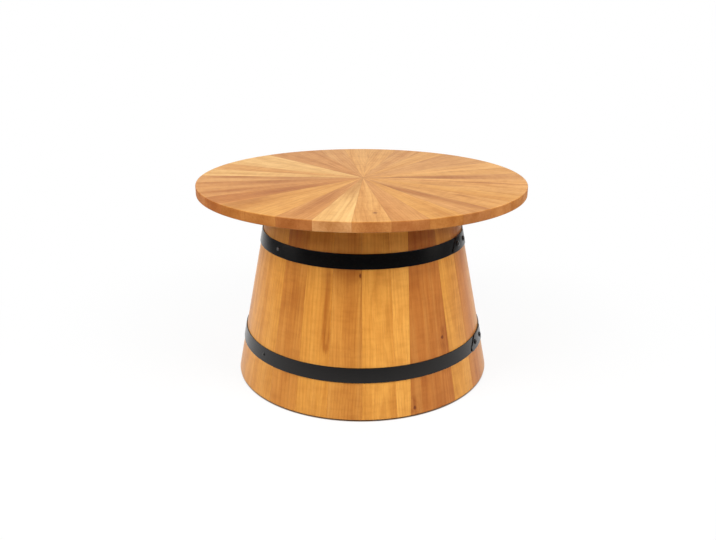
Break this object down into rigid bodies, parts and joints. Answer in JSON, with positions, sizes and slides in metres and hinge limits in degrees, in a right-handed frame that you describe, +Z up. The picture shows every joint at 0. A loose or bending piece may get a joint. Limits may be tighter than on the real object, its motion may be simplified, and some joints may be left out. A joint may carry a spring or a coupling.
{
  "type": "barrel coffee table",
  "caption": "Round coffee table: a top of radial wooden wedges on a tapered barrel of wooden staves, bound by black riveted steel hoops.",
  "frame": {"origin": "on the floor under the middle of the round top", "axes": "+Z up from the floor to the top, front towards -Y with the hoop laps on its right, +X"},
  "size_m": [0.7, 0.7, 0.43],
  "materials": {
    "top_wood": "satin lacquer",
    "barrel_wood": "satin lacquer",
    "hoop_steel": "satin black paint",
    "disc_ply": "sanded, unlacquered",
    "block_wood": "sawn, unlacquered",
    "screw_steel": "zinc plated",
    "glide_plastic": "matte"
  },
  "bodies": {
    "root": {"backing_disc": "disc_ply", "block_screws": "screw_steel", "disc_screws": "screw_steel", "fixing_block_1": "block_wood", "fixing_block_2": "block_wood", "fixing_block_3": "block_wood", "fixing_block_4": "block_wood", "fixing_block_5": "block_wood", "foot_glides": "glide_plastic", "hoop_nails": "hoop_steel", "hoop_rivets": "hoop_steel", "lower_hoop": "hoop_steel", "stave_01": "barrel_wood", "stave_02": "barrel_wood", "stave_03": "barrel_wood", "stave_04": "barrel_wood", "stave_05": "barrel_wood", "stave_06": "barrel_wood", "stave_07": "barrel_wood", "stave_08": "barrel_wood", "stave_09": "barrel_wood", "stave_10": "barrel_wood", "stave_11": "barrel_wood", "stave_12": "barrel_wood", "stave_13": "barrel_wood", "stave_14": "barrel_wood", "stave_15": "barrel_wood", "stave_16": "barrel_wood", "stave_17": "barrel_wood", "stave_18": "barrel_wood", "stave_19": "barrel_wood", "stave_20": "barrel_wood", "stave_21": "barrel_wood", "stave_22": "barrel_wood", "stave_23": "barrel_wood", "stave_24": "barrel_wood", "stave_25": "barrel_wood", "upper_hoop": "hoop_steel", "wedge_pair_01": "top_wood", "wedge_pair_02": "top_wood", "wedge_pair_03": "top_wood", "wedge_pair_04": "top_wood", "wedge_pair_05": "top_wood", "wedge_pair_06": "top_wood", "wedge_pair_07": "top_wood", "wedge_pair_08": "top_wood", "wedge_pair_09": "top_wood", "wedge_pair_10": "top_wood", "wedge_pair_11": "top_wood", "wedge_pair_12": "top_wood", "wedge_pair_13": "top_wood", "wedge_pair_14": "top_wood", "wedge_pair_15": "top_wood", "wedge_pair_16": "top_wood"}
  },
  "joints": []
}
